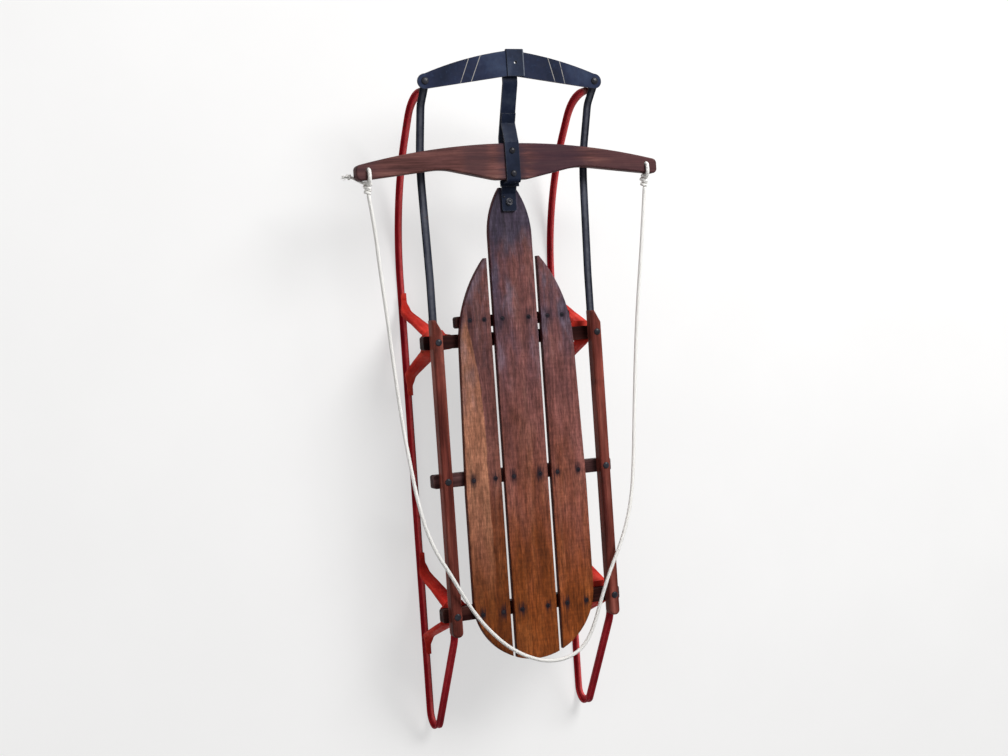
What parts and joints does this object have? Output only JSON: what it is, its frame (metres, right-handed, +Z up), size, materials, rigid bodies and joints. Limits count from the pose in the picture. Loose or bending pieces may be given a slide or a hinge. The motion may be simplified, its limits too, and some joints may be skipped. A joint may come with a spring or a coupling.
{
  "type": "steerable runner sled",
  "caption": "Steerable wooden runner sled with a slatted deck, pressed steel knees, curled red steel runners, a pivoting steering bar linked to a bowed bumper, and a cotton tow rope.",
  "frame": {"origin": "on the ground under the middle of the sled's box, rope aside", "axes": "+X forward to the bumper, +Y to the sled's left, +Z up"},
  "size_m": [1.1096, 0.524, 0.2135],
  "materials": {
    "deck_wood": "stained and worn",
    "rail_wood": "varnished and worn",
    "bench_wood": "dark stained",
    "bar_wood": "varnished and worn",
    "runner_paint": "worn gloss red",
    "knee_paint": "worn orange red",
    "strap_paint": "worn dark blue",
    "bumper_paint": "worn dark blue with pinstripes",
    "dark_steel": "dull dark steel",
    "rope_cotton": "braided cotton"
  },
  "bodies": {
    "frame": {"slat_center": "deck_wood", "slat_left": "deck_wood", "slat_right": "deck_wood", "bench_front": "bench_wood", "bench_middle": "bench_wood", "bench_rear": "bench_wood", "cleat_front": "bench_wood", "rail_left": "rail_wood", "rail_right": "rail_wood", "runner_left": "runner_paint", "runner_right": "runner_paint", "knee_front_left": "knee_paint", "knee_front_right": "knee_paint", "knee_rear_left": "knee_paint", "knee_rear_right": "knee_paint", "strap_root_left": "strap_paint", "strap_root_right": "strap_paint", "rail_bolts": "dark_steel", "pivot_bolt": "dark_steel", "rope": "rope_cotton"},
    "steering": {"steering_bar": "bar_wood", "lever_strap": "strap_paint", "lever_hood": "strap_paint", "lever_bolts": "dark_steel", "hitch_left": "rope_cotton", "hitch_right": "rope_cotton"},
    "front_left": {"side_strap_left": "strap_paint", "runner_front_left": "runner_paint"},
    "front_right": {"side_strap_right": "strap_paint", "runner_front_right": "runner_paint"},
    "bumper": {"bumper_bar": "bumper_paint", "bumper_clip": "bumper_paint", "bumper_bolts": "dark_steel"}
  },
  "joints": [
    {"name": "steer", "type": "hinge", "parent": "frame", "child": "steering", "pos_m": [0.31617, 0, 0.165], "axis": [0, 0, 1], "range_deg": [-9, 9], "stiffness_Nm_per_rad": 60, "deforming": ["rope"]},
    {"name": "front_flex_left", "type": "hinge", "parent": "frame", "child": "front_left", "pos_m": [0.19617, 0.14, 0.151], "axis": [0, 0, 1], "range_deg": [-6, 6]},
    {"name": "front_flex_right", "type": "hinge", "parent": "frame", "child": "front_right", "pos_m": [0.19617, -0.14, 0.151], "axis": [0, 0, 1], "range_deg": [-6, 6]},
    {"name": "bumper_swing", "type": "hinge", "parent": "front_left", "child": "bumper", "pos_m": [0.50418, 0.1465, 0.205], "axis": [0, 0, 1], "range_deg": [-6, 6]}
  ],
  "couplings": [
    {"joint": "front_flex_left", "follows": "steer", "ratio": 0.6461},
    {"joint": "front_flex_right", "follows": "steer", "ratio": 0.6461},
    {"joint": "bumper_swing", "follows": "steer", "ratio": -0.6174}
  ]
}
